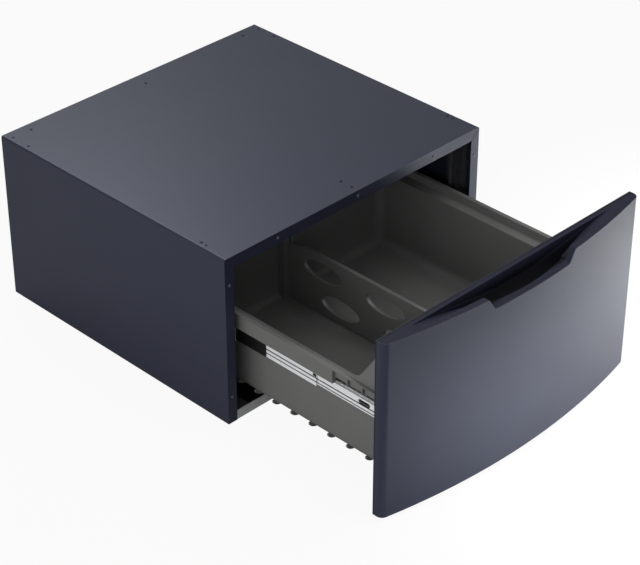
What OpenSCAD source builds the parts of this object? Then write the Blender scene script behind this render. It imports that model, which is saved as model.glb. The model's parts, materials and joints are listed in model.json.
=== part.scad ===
// Washer pedestal drawer: a painted steel cabinet on levelling feet with one full-width storage drawer.
// X points right when facing the front, Y points back and Z points up, all in millimetres.
// The origin is on the floor, under the middle of the whole object with its drawer open.

/* [Cabinet] */
// Width across the painted side walls
cab_w = 686; // [660:1:710]
// Depth from the front flanges to the rear panel
cab_d = 638; // [620:1:680]
// Height of the painted wrap, from its lower edge to the deck
cab_h = 365; // [350:1:400]
// Thickness of the painted sheet
sheet_t = 1; // [0.8:0.1:1.4]
// Outside radius of the bends between deck and side walls
bend_r = 4; // [3:0.5:6]
// Width of the flanges at the two front side edges
side_flange = 22; // [18:1:26]
// Height of the flange under the front edge of the deck
top_flange = 24; // [18:1:28]
// Width of the open mitre where two front flanges meet
mitre_gap = 0.8; // [0.5:0.1:1.5]
// Depth of the folded returns round the rear panel
panel_return = 29; // [26:1:29]
// Depth of the recess that takes a flush screw head
head_sink = 0.6; // [0.5:0.1:0.7]

/* [Frame inside the cabinet] */
// Height of the galvanised base rails and bars
rail_h = 20; // [18:1:26]
// Width of a base rail, inward from the side wall
rail_w = 54; // [50:1:56]
// Thickness of the galvanised base sheet
rail_t = 1.5; // [1:0.1:2]
// Depth of the front base bar's flange
bar_d = 30; // [20:1:40]
// How far a corner post stands in from the side wall
post_d = 13; // [10:1:15]
// Length of a corner post along the side wall
post_l = 52; // [46:1:60]
// Distance from the cabinet front to the front posts
post_front_y = 28; // [20:1:34]
// Distance from the cabinet back to the rear posts
post_rear_y = 30; // [28:1:40]
// Thickness of the post and bracket sheet
post_t = 1.2; // [1:0.1:1.6]
// Height of the bracket that carries a drawer slide
bracket_h = 42; // [39:1:44]
// Width of the brace under the deck
brace_w = 80; // [60:1:120]
// Height of the brace under the deck
brace_h = 14; // [10:1:18]

/* [Feet] */
// Height of the wrap's lower edge above the floor
foot_drop = 10; // [9:0.5:14]
// Radius of a threaded foot stud
stud_r = 5; // [4:0.5:6]
// Radius of a foot pad
pad_r = 15; // [12:1:18]
// Height of a foot pad
pad_h = 8; // [6:0.5:8.5]
// Distance of the feet from the front and back of the cabinet
foot_inset = 44; // [36:1:60]
// How far each foot can be screwed down
foot_travel = 20; // [10:1:25]

/* [Drawer front] */
// Height of the drawer front
front_h = 374; // [366:1:380]
// Thickness of the drawer front at its middle, where the bow is deepest
front_bow_d = 61; // [56:1:66]
// Thickness of the bowed front where it would meet the side planes
front_edge_d = 21; // [17:1:25]
// Radius of the rolled vertical edges
front_edge_r = 14; // [12:1:15]
// Thickness of the painted front skin
skin_t = 1.2; // [0.8:0.1:1.6]
// Thickness of the backing pan behind the skin
pan_t = 3; // [2:0.5:4]
// Height of the moulded cap that closes the top
cap_h = 70; // [66:1:80]
// Height of the moulded trim that closes the bottom
trim_h = 14; // [10:1:20]
// Half width of the finger notch at the top edge
notch_top = 117; // [90:1:130]
// Half width of the finger notch at its floor
notch_floor = 101; // [75:1:115]
// Depth of the finger notch
notch_h = 25; // [18:1:30]
// Width of the lip between the handle hollow and the outer surface
grip_lip = 14; // [10:1:16]
// Distance from the side planes to the ends of the handle hollow
grip_inset = 71; // [60:1:120]
// Distance from the side planes to the pointed ends of its deep part
grip_point_inset = 88; // [80:1:140]
// Distance of the handle hollow in front of the backing pan's rear face
grip_back = 12; // [8:1:14]
// Depth of the handle hollow below the top
grip_depth = 55; // [45:1:58]
// Open joint between the skin and the mouldings inside it
cap_gap = 0.6; // [0.3:0.1:1]
// Wall of the mouldings
cap_t = 3; // [2.5:0.1:3.5]

/* [Drawer bin] */
// Space for slide and skirt between the bin's side wall and the side of the cabinet
side_space = 66; // [65.5:0.5:72]
// Thickness of the bin walls and floor
bin_t = 3.5; // [3:0.1:4]
// Length of the bin from the backing pan to its rear wall's inner face
bin_l = 571; // [500:1:574]
// Height of the bin floor's upper face above the floor
bin_floor_z = 52; // [46:1:60]
// Inside radius of the bin's bottom edges and corners
bin_r = 18; // [12:1:24]
// Height of the ledge at the top of the inner walls
ledge_z = 220.5; // [214:0.5:222]
// Height of the rim above the floor
rim_z = 236.5; // [235:0.5:240]
// Wall of the rim and its ribs
rim_t = 2.5; // [2:0.1:3]
// Half gap between bin wall and skirt, filled by the drawer slide and its bracket
rim_out = 29; // [28.5:0.1:30]
// Width of the flat top of the rim
rim_flat = 9; // [7:0.5:14]
// Height of the skirt that hangs over each slide
skirt_h = 31; // [26:0.5:31.5]
// Distance from the backing pan to the front end of the skirt
skirt_front = 137; // [120:1:160]
// Height of the ribs under the bin floor
rib_h = 6.5; // [3:0.5:8]
// Thickness of the ribs under the bin floor
rib_t = 4; // [2:0.5:5]
// Distance from the backing pan to the first rib
rib_first = 32; // [28:1:45]
// Spacing of the ribs under the bin floor
rib_pitch = 48; // [35:1:70]
// Spacing of the gussets in front of the skirt
gusset_pitch = 36; // [30:1:45]
// Distance from the backing pan at which the wings meet the rim
wing_foot = 85; // [70:1:100]
// Depth of the wings at their upper end
wing_nose = 10.5; // [6:0.5:16]
// Width of the pillar that guides each end of the divider
pillar_w = 36; // [28:1:44]
// Depth of the rear pillar
pillar_d = 16; // [12:1:20]

/* [Divider] */
// Thickness of the divider
div_t = 8; // [6:0.5:10]
// Height of the divider
div_h = 134; // [120:1:150]
// Thickness of the tongues in the pillars
tongue_t = 5; // [4:0.5:6]
// How far a tongue reaches into its pillar
tongue_l = 6; // [4:0.5:7]
// Half length of the oval openings
oval_a = 52; // [40:1:60]
// Half height of the oval openings
oval_b = 21; // [15:1:24]

/* [Drawer slides] */
// Travel of the drawer between closed and fully open
drawer_travel = 369; // [300:1:380]
// Length of the fixed slide member
outer_l = 520; // [500:1:560]
// Length of the two moving slide members
inner_l = 480; // [470:1:490]
// Height of the slide's centre line above the floor
slide_z = 181.5; // [178:0.5:184]
// Height of the slide member on the drawer
inner_h = 26; // [24:0.5:27]
// Depth of the slide member on the drawer
inner_d = 9; // [8.5:0.5:10]
// Gap between bin wall and slide, bridged by moulded pads
slide_standoff = 4; // [3:0.5:5]
// Thickness of the slide webs
web_t = 1.2; // [1:0.1:1.4]
// Thickness of the rolled ball races
race_t = 1.6; // [1.6:0.1:1.8]
// Gap between facing races
race_gap = 0.8; // [0.8:0.1:1]
// Diameter of the bearing balls
ball_d = 2.4; // [2.2:0.1:2.6]
// Length of a ball cage
cage_length = 180; // [150:1:190]
// Distance from the cabinet front to the fixed slide member
fixed_y = 28; // [10:1:34]
// Height of the upturned lip along the drawer member
lip_h = 11.5; // [9:0.5:12.5]
// Number of balls in one row of a cage
ball_count = 6; // [4:1:8]

/* [Fits] */
// Clearance between parts that slide on each other
slide_fit = 0.3; // [0.2:0.05:0.4]
// Clearance round the balls and the lever pin
race_fit = 0.1; // [0.05:0.05:0.15]
// Clearance between parts that are only nested
nest_fit = 0.2; // [0.1:0.05:0.3]
// Gap between the closed drawer front and the cabinet
front_gap = 2; // [1.5:0.5:4]

/* [Hidden] */

navy = [0.15, 0.16, 0.22];
navy_dark = [0.09, 0.10, 0.14];
zinc = [0.78, 0.79, 0.80];
galvanised = [0.55, 0.56, 0.57];
bin_grey = [0.30, 0.30, 0.30];
black_plastic = [0.05, 0.05, 0.05];
screw_steel = [0.25, 0.26, 0.30];

round_fn = 48;
bow_fn = 720;
ball_fn = 24;
curve_n = 36;
past = 1;
LEFT = -1;
RIGHT = 1;

// Planes of the cabinet
origin_y = -(cab_d - drawer_travel - front_gap - front_bow_d) / 2;
wrap_z = foot_drop;
deck_z = wrap_z + cab_h;
deck_under = deck_z - sheet_t;
wall_in = cab_w / 2 - sheet_t;
flange_in = cab_w / 2 - side_flange;
rail_top = wrap_z + rail_h;
rail_in = wall_in - rail_w;
rail_front = sheet_t + rail_t;
rail_rear = cab_d - panel_return - nest_fit;
post_face = wall_in - post_d;
rear_post_y = cab_d - post_rear_y - post_l;
post_foot = post_l / 4;
post_rise = 4;
post_tab = 6;
bracket_lip = 12;
brace_rise = 4;
pan_lap = 6;
nut_h = 8;
nut_r = stud_r * 1.75;
foot_x = rail_in + pan_lap + nut_r + 3.5;
foot_y = [foot_inset, cab_d - foot_inset];
stud_spare = 2.5;
stud_top = wrap_z + rail_t + nut_h + foot_travel + stud_spare;
panel_bead_r = 6;
panel_bead_inset = 60;

// Screws and holes: radius of shank and head, height of head
screw_r = 1.8;
head_r = 3.2;
head_h = 1.2;
flush_h = head_sink - 0.1;
screw_l = 7;
flange_screw_inset = 133;
flange_screw_x = cab_w / 2 - flange_screw_inset;
side_screw_rise = 59;
side_screw_z = [side_screw_rise, cab_h - side_screw_rise];
mount_hole_r = 2.2;
mount_x = cab_w / 2 - 12;
mount_front_y = 60;
mount_rear_y = cab_d - 22;
deck_post_y = [post_front_y + post_l - 7, rear_post_y + 12];
deck_brace_y = [17, 46, cab_d - 36];
panel_screw_inset = 57;
panel_screw_x = cab_w / 2 - panel_screw_inset;
rear_screw_inset = 93;
rear_screw_x = cab_w / 2 - rear_screw_inset;

// Drawer slide: distances outward from the bin's side wall, and half heights
bin_out = cab_w / 2 - side_space;
bin_half = bin_out - bin_t;
inner_s = slide_standoff;
inner_tip = inner_s + inner_d;
mid_web = inner_tip + 1.5;
mid_tip = inner_s + 2.5;
mid_out = mid_web + web_t;
fix_web = mid_out + 1.7;
fix_out = fix_web + web_t;
fix_tip = mid_tip + 1.5;
inner_lane = inner_s + 5;
outer_lane = inner_lane + ball_d + 0.6;
inner_half = inner_h / 2;
mid_half = inner_half + race_gap + race_t;
fix_half = mid_half + race_gap + race_t;
groove_r = ball_d / 2 + race_fit;
cage_t = race_gap / 2;
cage_web = 0.6;
cage_tip = [2, 2.5];
slide_y = 4;
inner_y = 2;
half_travel = drawer_travel / 2;
cage_reach = 52;
cage_lead = 16;
ball_inset = 10;
outer_cage_y = half_travel / 2 - cage_reach;
inner_cage_y = slide_y + half_travel / 2 + cage_lead;
stop_l = 7;
stop_z = [5, 10];
pad_screw_r = 9;
slide_screw_y = [30, 200, 330, 450];
bead_w = 1.2;
bead_d = 0.6;
bead_z = [1.9, -6.6];
lip_groove_z = -9;
slot_w = 1;
rivet_y = [70, 230, 400];

// Release lever, in the channel of the drawer member
lever_l = 28;
lever_h = 8;
lever_rise = 4.6;
lever_pin_r = 1.5;
lever_y = 82;
lever_s = inner_s + web_t + slide_fit;
lever_t = inner_tip - web_t - slide_fit - lever_s;
window_gap = 0.7;
pin_end = 0.5;

// Drawer front, measured forward from the rear face of its backing pan
front_z = foot_drop;
front_top = front_z + front_h;
bow_sag = front_bow_d - front_edge_d;
bow_r = (pow(cab_w / 2, 2) + pow(bow_sag, 2)) / (2 * bow_sag);
bow_y = bow_r - front_bow_d;
edge_x = cab_w / 2 - front_edge_r;
edge_y = bow_y - sqrt(pow(bow_r - front_edge_r, 2) - pow(edge_x, 2));
notch_r = 8;
notch_flare = 12;
cap_z = front_top - cap_h;
cap_drop = 0.6;
scoop_y = -grip_back - grip_depth;
grip_half = cab_w / 2 - grip_inset;
grip_point = cab_w / 2 - grip_point_inset;
grip_wide = front_bow_d - grip_lip - grip_back;
grip_end_r = 6;
bumper_r = 5;
bumper_rise = 30;
bumper_drop = 90;

// Bin, measured back from the rear face of the backing pan
floor_under = bin_floor_z - bin_t;
tub_top = ledge_z;
rim_half = bin_out + rim_out;
riser_in = rim_half - rim_flat;
rim_back = bin_l + rim_half - bin_half;
wing_clear = 1;
wing_z = deck_z - top_flange - wing_clear;
wing_r = 55;
wing_nose_r = 3;
front_screw_inset = [185, 55];
front_screw_x = [for (inset = front_screw_inset) bin_half - inset];
front_screw_rise = 43;
front_screw_drop = 30;
front_screw_z = [bin_floor_z + front_screw_rise, ledge_z - front_screw_drop];
front_pillar_d = 12;
div_gap = 5;
div_foot = 2;
div_y0 = bin_t + front_pillar_d + div_gap;
div_y1 = bin_l - pillar_d - div_gap;
div_z = bin_floor_z + div_foot;
div_top = div_z + div_h;
oval_high = div_z + div_h * 0.72;
oval_low = div_z + div_h * 0.25;
oval_step = 167;
oval_high_y = 90;
oval_low_y = 138;
div_dip = 8;
div_dip_l = 40;
div_dip_r = 60;
div_r = 4;
tongue_drop = 6;

// Outline helpers
function unit(v) = v / norm(v);
function left_of(v) = [-v.y, v.x];
function corner(a, b, c, r, n) =
    r <= 0 ? [b] :
    let (u = unit(a - b), w = unit(c - b), half = acos(max(-1, min(1, u * w))) / 2)
    let (m = b + unit(u + w) * r / sin(half), p = b + u * r / tan(half), q = b + w * r / tan(half))
    let (a0 = atan2(p.y - m.y, p.x - m.x), d = atan2(q.y - m.y, q.x - m.x) - a0)
    let (sweep = d > 180 ? d - 360 : d < -180 ? d + 360 : d)
    [for (i = [0:n]) m + r * [cos(a0 + sweep * i / n), sin(a0 + sweep * i / n)]];
function rounded(p, radii, n = 6) =
    let (k = len(p))
    [for (i = [0:k - 1]) each corner(p[(i + k - 1) % k], p[i], p[(i + 1) % k], radii[i], n)];
function bent(p, r, n = 3) =
    let (k = len(p))
    [p[0], for (i = [1:k - 2]) each corner(p[i - 1], p[i], p[i + 1], r, n), p[k - 1]];
function shifted(p, t) =
    let (k = len(p))
    [for (i = [0:k - 1])
        let (before = left_of(unit(p[max(i, 1)] - p[max(i, 1) - 1])))
        let (after = left_of(unit(p[min(i, k - 2) + 1] - p[min(i, k - 2)])))
        let (m = unit(before + after))
        p[i] + m * t / (m * before)];
// A folded sheet: the path is one face, the other lies t to the left of it
function sheet(p, t) = let (q = shifted(p, t)) concat(p, [for (i = [len(q) - 1:-1:0]) q[i]]);

module at_cabinet() { translate([0, origin_y, 0]) children(); }
module at_drawer(share = 1) { translate([0, origin_y - drawer_travel * share, 0]) children(); }
module at_front() { at_drawer() translate([0, -front_gap, 0]) children(); }
module hand(side) { mirror([side < 0 ? 1 : 0, 0, 0]) children(); }
module both() { hand(RIGHT) children(); hand(LEFT) children(); }
// Extrude an XZ outline from y0 to y1
module along_y(y0, y1) {
    translate([0, y1, 0]) rotate([90, 0, 0]) linear_extrude(y1 - y0) children();
}
// Extrude a YZ outline from x0 to x1
module along_x(x0, x1) {
    translate([x0, 0, 0]) rotate([90, 0, 90]) linear_extrude(x1 - x0) children();
}
module rod_z(r, z0, z1) { translate([0, 0, z0]) cylinder(r = r, h = z1 - z0, $fn = round_fn); }
module rod_y(r, y0, y1) { rotate([-90, 0, 0]) rod_z(r, y0, y1); }
module rod_x(r, x0, x1) { rotate([0, 90, 0]) rod_z(r, x0, x1); }
module rect(x0, y0, x1, y1) { translate([x0, y0]) square([x1 - x0, y1 - y0]); }
module block(a, b) { translate(a) cube(b - a); }

// The cabinet's cross section, shrunk by inset, from height z0 up
module cabinet_section(inset, z0) {
    w = cab_w / 2 - inset;
    top = deck_z - inset;
    r = max(bend_r - inset, 0.5);
    polygon(rounded([[-w, z0], [w, z0], [w, top], [-w, top]], [0, 0, r, r]));
}

module mitre_slot() {
    a = [flange_in, deck_z - top_flange];
    b = [cab_w / 2 - bend_r / 2, deck_z - bend_r / 2];
    n = left_of(unit(b - a)) * mitre_gap / 2;
    polygon([a - n, b - n, b + n, a + n]);
    translate(a) circle(r = mitre_gap * 2, $fn = round_fn);
}

module deck_hole_row(r, z0, z1) {
    for (y = deck_post_y) both() translate([mount_x, y]) rod_z(r, z0, z1);
    both() translate([panel_screw_x, mount_rear_y]) rod_z(r, z0, z1);
    for (y = deck_brace_y) translate([0, y]) rod_z(r, z0, z1);
}

module mount_hole_set(r, z0, z1) {
    for (y = [mount_front_y, mount_rear_y]) both() translate([mount_x, y]) rod_z(r, z0, z1);
}

module flange_hole_set(r, y0, y1) {
    for (x = [-flange_screw_x, 0, flange_screw_x])
        translate([x, 0, deck_z - top_flange / 2]) rod_y(r, y0, y1);
    for (z = side_screw_z) both() translate([cab_w / 2 - side_flange / 2, 0, wrap_z + z]) rod_y(r, y0, y1);
}

// Deck, side walls and front flanges folded from one sheet
module cabinet_wrap() {
    color(navy) at_cabinet() difference() {
        along_y(0, cab_d) cabinet_section(0, wrap_z);
        along_y(sheet_t, cab_d + past) cabinet_section(sheet_t, wrap_z - past);
        along_y(-past, sheet_t + past) rect(-flange_in, wrap_z - past, flange_in, deck_z - top_flange);
        both() along_y(-past, sheet_t) mitre_slot();
        deck_hole_row(screw_r + nest_fit, deck_under - past, deck_z + past);
        deck_hole_row(head_r + nest_fit, deck_z - head_sink, deck_z + past);
        mount_hole_set(mount_hole_r, deck_under - past, deck_z + past);
        flange_hole_set(screw_r + nest_fit, -past, sheet_t + past);
    }
}

module rear_holes(r, y0, y1) {
    for (x = [-rear_screw_x, 0, rear_screw_x]) translate([x, 0, wrap_z + rail_h / 2]) rod_y(r, y0, y1);
}

module panel_bead(r, z) {
    translate([0, cab_d, z]) rod_x(r, panel_bead_inset - cab_w / 2, cab_w / 2 - panel_bead_inset);
}

// Shallow folded tray that closes the back, with two pressed stiffening beads
module rear_panel() {
    skin = sheet_t + nest_fit;
    beads = [wrap_z + cab_h * 0.33, wrap_z + cab_h * 0.67];
    color(navy_dark) at_cabinet() difference() {
        union() {
            difference() {
                along_y(cab_d - panel_return, cab_d) cabinet_section(skin, wrap_z);
                along_y(cab_d - panel_return - past, cab_d - sheet_t)
                    cabinet_section(skin + sheet_t, wrap_z - past);
            }
            for (z = beads) intersection() {
                panel_bead(panel_bead_r, z);
                block([-cab_w, cab_d - 2 * panel_bead_r, 0], [cab_w, cab_d, deck_z]);
            }
        }
        for (z = beads) panel_bead(panel_bead_r - sheet_t, z);
        rear_holes(screw_r + nest_fit, cab_d - 2 * sheet_t, cab_d + past);
        rear_holes(head_r + nest_fit, cab_d - head_sink, cab_d + past);
        both() translate([0, mount_rear_y]) {
            translate([panel_screw_x, 0]) rod_z(screw_r + nest_fit, deck_under - screw_l, deck_z);
            translate([mount_x, 0]) rod_z(mount_hole_r + 1, deck_under - screw_l, deck_z);
        }
    }
}

// Angle across the front of the base; its face closes the gap between the side flanges
module front_base_bar() {
    color(galvanised) at_cabinet() {
        block([-wall_in + nest_fit, sheet_t, wrap_z], [wall_in - nest_fit, rail_front, rail_top]);
        block([-rail_in + nest_fit, rail_front, wrap_z],
            [rail_in - nest_fit, rail_front + bar_d, wrap_z + rail_t]);
    }
}

module rear_base_bar() {
    half = wall_in - sheet_t - 2 * nest_fit;
    rear = cab_d - sheet_t;
    color(galvanised) at_cabinet() difference() {
        union() {
            block([-half, rear - rail_t, wrap_z], [half, rear, rail_top]);
            for (z = [wrap_z, rail_top - rail_t])
                block([-half, rail_rear + nest_fit, z], [half, rear - rail_t, z + rail_t]);
        }
        rear_holes(screw_r + nest_fit, rear - 2 * rail_t, rear + past);
    }
}

// Plain sheet that closes the base; it lies on the lower flanges of the rails and bars
module base_pan() {
    half = rail_in + pan_lap;
    color(navy_dark) at_cabinet() block([-half, rail_front + nest_fit, wrap_z + rail_t],
        [half, cab_d - sheet_t - rail_t - nest_fit, wrap_z + rail_t + sheet_t]);
}

// Side channel of the base, pierced for the two feet below it
module base_rail(side) {
    path = [[rail_in, wrap_z + rail_t], [wall_in - rail_t, wrap_z + rail_t],
        [wall_in - rail_t, rail_top - rail_t], [rail_in, rail_top - rail_t]];
    color(galvanised) at_cabinet() hand(side) difference() {
        along_y(rail_front, rail_rear) polygon(sheet(path, -rail_t));
        for (y = foot_y) translate([foot_x, y]) rod_z(stud_r + race_fit, wrap_z - past, rail_top + past);
    }
}

// Corrugated corner post that ties base, slide bracket and deck together
module corner_post(side, y0, tab_hole_y) {
    y1 = y0 + post_l;
    mid = (y0 + y1) / 2;
    rib = post_l / 13;
    dip = post_d * 0.4;
    path = [[wall_in, y0], [wall_in, y0 + post_foot], [post_face + post_t, y0 + post_foot + post_rise],
        [post_face + post_t, mid - 2 * rib], [post_face + dip, mid - rib], [post_face + dip, mid + rib],
        [post_face + post_t, mid + 2 * rib], [post_face + post_t, y1 - post_foot - post_rise],
        [wall_in, y1 - post_foot], [wall_in, y1]];
    color(galvanised) at_cabinet() hand(side) difference() {
        intersection() {
            union() {
                translate([0, 0, rail_top])
                    linear_extrude(deck_under - rail_top) polygon(sheet(path, post_t));
                block([mount_x - post_tab, y0, deck_under - post_t], [wall_in, y1, deck_under]);
            }
            along_y(y0 - past, y1 + past) cabinet_section(sheet_t, wrap_z);
        }
        translate([mount_x, tab_hole_y]) rod_z(screw_r + nest_fit, deck_under - screw_l, deck_z);
        translate([mount_x, mount_front_y]) rod_z(mount_hole_r + 1, deck_under - screw_l, deck_z);
    }
}

// Hat channel that stiffens the deck from front to back
module deck_brace() {
    foot = brace_w / 2;
    crown = brace_w / 4;
    low = deck_under - brace_h;
    path = [[-foot, deck_under], [-crown - brace_rise, deck_under], [-crown, low + post_t],
        [crown, low + post_t], [crown + brace_rise, deck_under], [foot, deck_under]];
    color(galvanised) at_cabinet() difference() {
        along_y(sheet_t + nest_fit, rail_rear) polygon(sheet(path, -post_t));
        for (y = deck_brace_y) translate([0, y]) rod_z(screw_r + nest_fit, deck_under - brace_h * 2, deck_z);
    }
}

// Channel between the posts that carries the fixed slide member
module slide_bracket(side) {
    x = bin_out + fix_out;
    low = slide_z - bracket_h / 2;
    high = slide_z + bracket_h / 2;
    path = [[post_face, low - bracket_lip], [post_face, low], [x + post_t, low], [x + post_t, high],
        [post_face, high], [post_face, high + bracket_lip]];
    color(galvanised) at_cabinet() hand(side) difference() {
        along_y(post_front_y, rear_post_y + post_l) polygon(sheet(bent(path, 2), post_t));
        for (y = rivet_y) translate([0, y, slide_z]) rod_x(screw_r + nest_fit, x - past, x + 2 * post_t);
    }
}

// Rivets through the fixed slide member's web and the bracket
module bracket_rivets() {
    web = bin_out + fix_web;
    back = bin_out + fix_out + post_t;
    color(screw_steel) at_cabinet() both() for (y = rivet_y) translate([0, y, slide_z]) {
        rod_x(screw_r, web, back + head_h);
        rod_x(head_r, back, back + head_h);
    }
}

// One C-shaped slide member: the web's inner face at s_web, races of half height half reaching to s_tip
module slide_member(s_web, s_tip, half) {
    difference() {
        rect(min(s_web, s_tip), -half, max(s_web + web_t, s_tip), half);
        rect(min(s_web + web_t, s_tip - past), race_t - half, max(s_web, s_tip + past), half - race_t);
    }
}

module race_groove(lane, z) {
    for (k = [-1, 1]) translate([lane, k * z]) circle(r = groove_r, $fn = round_fn);
}

module fixed_profile() {
    difference() {
        slide_member(fix_web, fix_tip, fix_half);
        race_groove(outer_lane, mid_half + race_gap / 2);
    }
}

module middle_profile() {
    difference() {
        slide_member(mid_web, mid_tip, mid_half);
        race_groove(outer_lane, mid_half + race_gap / 2);
        race_groove(inner_lane, inner_half + race_gap / 2);
        for (z = bead_z) rect(mid_out - bead_d, z - bead_w / 2, mid_out + past, z + bead_w / 2);
    }
}

// Box section of the drawer member, with a narrow slot between its upturned lip and its outer wall
module drawer_profile() {
    difference() {
        union() {
            slide_member(inner_s, inner_tip, inner_half);
            rect(inner_tip - web_t, -inner_half, inner_tip, lip_h - inner_half);
            rect(inner_tip - web_t, lip_h - inner_half + slot_w, inner_tip, inner_half);
        }
        race_groove(inner_lane, inner_half + race_gap / 2);
        rect(inner_tip - bead_d, lip_groove_z - bead_w / 2, inner_tip + past, lip_groove_z + bead_w / 2);
    }
}

module on_slide(side) { hand(side) translate([bin_out, 0, slide_z]) children(); }

module slide_fixed(side) {
    color(zinc) at_cabinet() on_slide(side) difference() {
        along_y(fixed_y, fixed_y + outer_l) fixed_profile();
        for (y = rivet_y) translate([0, y, 0]) rod_x(screw_r + race_fit, fix_web - past, fix_out + past);
    }
}

module slide_middle(side) {
    color(zinc) at_drawer(1 / 2) on_slide(side) along_y(slide_y, slide_y + inner_l) middle_profile();
}

// Nylon stop riveted on the outside of the middle member, at its front end
module slide_stop(side) {
    color(black_plastic) at_drawer(1 / 2) on_slide(side)
        along_x(mid_out, mid_out + web_t) rect(slide_y, stop_z[0], slide_y + stop_l, stop_z[1]);
}

// Outline of the release lever, grown by d
module lever_outline(d = 0) {
    r = lever_h / 2 + d;
    front = lever_y - lever_l + lever_h;
    translate([lever_y, lever_rise]) circle(r = r, $fn = round_fn);
    translate([front, lever_rise]) circle(r = r, $fn = round_fn);
    rect(front, lever_rise - r, lever_y, lever_rise + r);
}

// Drawer member, with the window and the pin of the release lever
module slide_drawer(side) {
    color(zinc) at_drawer() on_slide(side) {
        difference() {
            along_y(inner_y, inner_y + inner_l) drawer_profile();
            for (y = slide_screw_y) translate([0, y, 0]) {
                rod_x(screw_r + race_fit, inner_s - past, inner_s + web_t + past);
                rod_x(head_r + nest_fit, inner_tip - web_t - past, inner_tip + past);
            }
            along_x(inner_tip - web_t - past, inner_tip + past) lever_outline(window_gap);
        }
        translate([0, lever_y, lever_rise])
            rod_x(lever_pin_r, inner_s + web_t / 2, lever_s + lever_t + pin_end);
    }
}

module slide_screws() {
    color(screw_steel) at_drawer() both() for (y = slide_screw_y) translate([bin_out, y, slide_z]) {
        rod_x(screw_r, -bin_t, inner_s + web_t);
        rod_x(head_r, inner_s + web_t, inner_s + web_t + head_h);
    }
}

// Spring lever that frees the drawer member; it turns on the pin at its rear end
module release_lever(side) {
    color(black_plastic) at_drawer() on_slide(side) difference() {
        along_x(lever_s, lever_s + lever_t) lever_outline();
        translate([0, lever_y, lever_rise]) rod_x(lever_pin_r + race_fit, 0, lever_s + lever_t + past);
    }
}

// Ball cage: a thin channel between two members, with its balls
module ball_cage(web_s, tip_s, lane, z, y0) {
    pitch = (cage_length - 2 * ball_inset) / (ball_count - 1);
    top = z + cage_t / 2;
    along_y(y0, y0 + cage_length) difference() {
        rect(tip_s, -top, web_s + cage_web, top);
        rect(tip_s - past, cage_t - top, web_s, top - cage_t);
    }
    for (i = [0:ball_count - 1], k = [-1, 1])
        translate([lane, y0 + ball_inset + i * pitch, k * z]) sphere(d = ball_d, $fn = ball_fn);
}

module outer_cage(side) {
    web_s = (mid_out + fix_web - cage_web) / 2;
    color(screw_steel) at_drawer(1 / 4) on_slide(side)
        ball_cage(web_s, outer_lane - cage_tip[1], outer_lane, mid_half + race_gap / 2, outer_cage_y);
}

module inner_cage(side) {
    web_s = (inner_tip + mid_web - cage_web) / 2;
    color(screw_steel) at_drawer(3 / 4) on_slide(side)
        ball_cage(web_s, inner_lane - cage_tip[0], inner_lane, inner_half + race_gap / 2, inner_cage_y);
}

// A large arc of radius r that ends in arcs of radius r_end round the points (+-c.x, c.y)
module bow(r, c, r_end) {
    reach = unit([c.x, c.y - bow_y]) * (r + past) + [0, bow_y];
    intersection() {
        translate([0, bow_y]) circle(r = r, $fn = bow_fn);
        polygon([[-c.x, max(c.y, 0)], [-c.x, c.y], [-reach.x, reach.y], [-reach.x, -front_bow_d - past],
            [reach.x, -front_bow_d - past], [reach.x, reach.y], [c.x, c.y], [c.x, max(c.y, 0)]]);
    }
    for (k = [-1, 1]) translate([k * c.x, c.y]) circle(r = r_end, $fn = round_fn * 2);
}

// Centre of an end arc of radius r in the corner of the handle hollow
function grip_corner(r) =
    let (x = grip_half - r)
    [x, bow_y - sqrt(pow(bow_r - grip_lip - r, 2) - pow(x, 2))];

// Plan of the bowed drawer front, shrunk by inset, with rolled vertical edges
module front_plan(inset) {
    bow(bow_r - inset, [edge_x, edge_y], front_edge_r - inset);
    rect(inset - cab_w / 2, edge_y, -edge_x, 0);
    rect(edge_x, edge_y, cab_w / 2 - inset, 0);
}

module notch_outline() {
    low = front_top - notch_h;
    wide = notch_top + notch_flare;
    high = front_top + notch_flare;
    polygon(rounded([[-wide, high], [-notch_top, front_top], [-notch_floor, low],
        [notch_floor, low], [notch_top, front_top], [wide, high]],
        [0, notch_r, notch_r, notch_r, notch_r, 0]));
}

// Painted outer skin, open at the back and notched at the top
module front_skin() {
    color(navy) at_front() difference() {
        translate([0, 0, front_z]) linear_extrude(front_h) intersection() {
            front_plan(0);
            rect(-cab_w, -front_bow_d - past, cab_w, -pan_t);
        }
        translate([0, 0, front_z - past]) linear_extrude(front_h + 2 * past) front_plan(skin_t);
        along_y(-front_bow_d - past, -front_edge_d - past) notch_outline();
    }
}

module front_holes(r, y0, y1) {
    for (x = front_screw_x, z = front_screw_z) both() translate([x, 0, z]) rod_y(r, y0, y1);
}

// Backing pan behind the skin, which the bin is screwed to
module front_pan() {
    color(navy_dark) at_front() difference() {
        block([-cab_w / 2, -pan_t, front_z], [cab_w / 2, 0, front_top]);
        front_holes(screw_r + nest_fit, -pan_t - past, past);
    }
}

// Plan of the mouldings that close the skin at the top and bottom, shrunk by inset
module moulding_plan(inset = 0) {
    intersection() {
        front_plan(skin_t + cap_gap + inset);
        rect(-cab_w, -front_bow_d, cab_w, -pan_t - inset);
    }
}

// Shallow dish along the top; its floor drops from the ends to the height of the finger notch
module grip_dish() {
    low = front_top - notch_h;
    flat = notch_floor / 2;
    intersection() {
        translate([0, 0, cap_z]) linear_extrude(cap_h + past) intersection() {
            bow(bow_r - grip_lip, grip_corner(grip_end_r), grip_end_r);
            rect(-grip_half, -front_bow_d, grip_half, -grip_back);
        }
        along_y(-front_bow_d, 0) polygon([[-grip_half, front_top], [-flat, low], [flat, low],
            [grip_half, front_top], [grip_half, front_top + past], [-grip_half, front_top + past]]);
    }
}

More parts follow.
